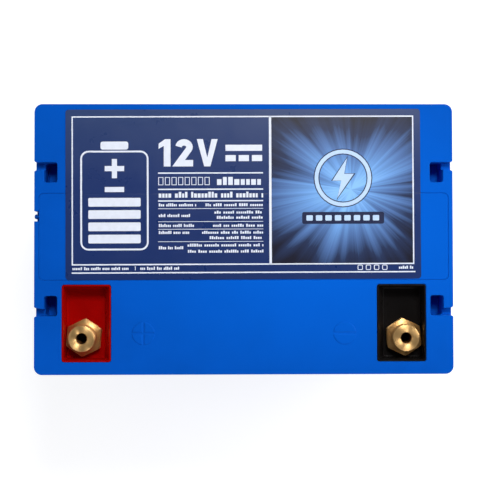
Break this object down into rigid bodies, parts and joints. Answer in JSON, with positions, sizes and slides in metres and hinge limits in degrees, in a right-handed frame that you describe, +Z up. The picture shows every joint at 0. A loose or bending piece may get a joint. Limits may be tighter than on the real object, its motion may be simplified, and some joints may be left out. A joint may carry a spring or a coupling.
{
  "type": "deep cycle battery",
  "caption": "Rectangular twelve-volt sealed deep cycle battery with flush brass threaded terminals in coloured wells, a valve cover, and rope handle slots.",
  "frame": {"origin": "centre of the container's flat base, on the surface that the battery stands on", "axes": "+Z up; +X along the block's length, from the positive to the negative terminal; the terminals are at the front, -Y"},
  "size_m": [0.2607, 0.168, 0.2084],
  "materials": {
    "container": "fine satin moulded polypropylene, blue",
    "lid": "fine satin moulded polypropylene, bright blue",
    "cover": "fine satin moulded polypropylene, bright blue",
    "label": "printed laminated film, navy",
    "nozzle": "satin moulded plastic, blue",
    "frit": "sintered porous",
    "red_insert": "semi-gloss moulded plastic, dark red",
    "black_insert": "semi-gloss moulded plastic, black",
    "brass": "turned, fine concentric tool marks",
    "seal_rubber": "moulded rubber",
    "cap_rubber": "moulded rubber",
    "lead": "dull cast lead",
    "positive_paste": "dark brown lead dioxide paste on a cast grid",
    "negative_paste": "grey sponge lead paste on a cast grid",
    "glass_mat": "white felted micro glass fibre"
  },
  "bodies": {
    "battery": {"container": "container", "lid": "lid", "valve_cover": "cover", "top_label": "label", "vent_nozzle": "nozzle", "flame_arrestor": "frit", "well_insert_pos": "red_insert", "well_insert_neg": "black_insert", "terminal_pos": "brass", "terminal_neg": "brass", "terminal_seal_pos": "seal_rubber", "terminal_seal_neg": "seal_rubber", "post_pos": "lead", "post_neg": "lead", "cell_1_positive_plates": "positive_paste", "cell_1_negative_plates": "negative_paste", "cell_1_glass_mat": "glass_mat", "cell_1_positive_strap": "lead", "cell_1_negative_strap": "lead", "cell_2_positive_plates": "positive_paste", "cell_2_negative_plates": "negative_paste", "cell_2_glass_mat": "glass_mat", "cell_2_positive_strap": "lead", "cell_2_negative_strap": "lead", "cell_3_positive_plates": "positive_paste", "cell_3_negative_plates": "negative_paste", "cell_3_glass_mat": "glass_mat", "cell_3_positive_strap": "lead", "cell_3_negative_strap": "lead", "cell_4_positive_plates": "positive_paste", "cell_4_negative_plates": "negative_paste", "cell_4_glass_mat": "glass_mat", "cell_4_positive_strap": "lead", "cell_4_negative_strap": "lead", "cell_5_positive_plates": "positive_paste", "cell_5_negative_plates": "negative_paste", "cell_5_glass_mat": "glass_mat", "cell_5_positive_strap": "lead", "cell_5_negative_strap": "lead", "cell_6_positive_plates": "positive_paste", "cell_6_negative_plates": "negative_paste", "cell_6_glass_mat": "glass_mat", "cell_6_positive_strap": "lead", "cell_6_negative_strap": "lead", "intercell_weld_1": "lead", "intercell_weld_2": "lead", "intercell_weld_3": "lead", "intercell_weld_4": "lead", "intercell_weld_5": "lead"},
    "valve_1": {"valve_cap_1": "cap_rubber"},
    "valve_2": {"valve_cap_2": "cap_rubber"},
    "valve_3": {"valve_cap_3": "cap_rubber"},
    "valve_4": {"valve_cap_4": "cap_rubber"},
    "valve_5": {"valve_cap_5": "cap_rubber"},
    "valve_6": {"valve_cap_6": "cap_rubber"}
  },
  "joints": [
    {"name": "valve_lift_1", "type": "slide", "parent": "battery", "child": "valve_1", "axis": [0, 0, 1], "range_m": [0, 0.001], "stiffness_N_per_m": 400, "springref_m": -0.002},
    {"name": "valve_lift_2", "type": "slide", "parent": "battery", "child": "valve_2", "axis": [0, 0, 1], "range_m": [0, 0.001], "stiffness_N_per_m": 400, "springref_m": -0.002},
    {"name": "valve_lift_3", "type": "slide", "parent": "battery", "child": "valve_3", "axis": [0, 0, 1], "range_m": [0, 0.001], "stiffness_N_per_m": 400, "springref_m": -0.002},
    {"name": "valve_lift_4", "type": "slide", "parent": "battery", "child": "valve_4", "axis": [0, 0, 1], "range_m": [0, 0.001], "stiffness_N_per_m": 400, "springref_m": -0.002},
    {"name": "valve_lift_5", "type": "slide", "parent": "battery", "child": "valve_5", "axis": [0, 0, 1], "range_m": [0, 0.001], "stiffness_N_per_m": 400, "springref_m": -0.002},
    {"name": "valve_lift_6", "type": "slide", "parent": "battery", "child": "valve_6", "axis": [0, 0, 1], "range_m": [0, 0.001], "stiffness_N_per_m": 400, "springref_m": -0.002}
  ]
}
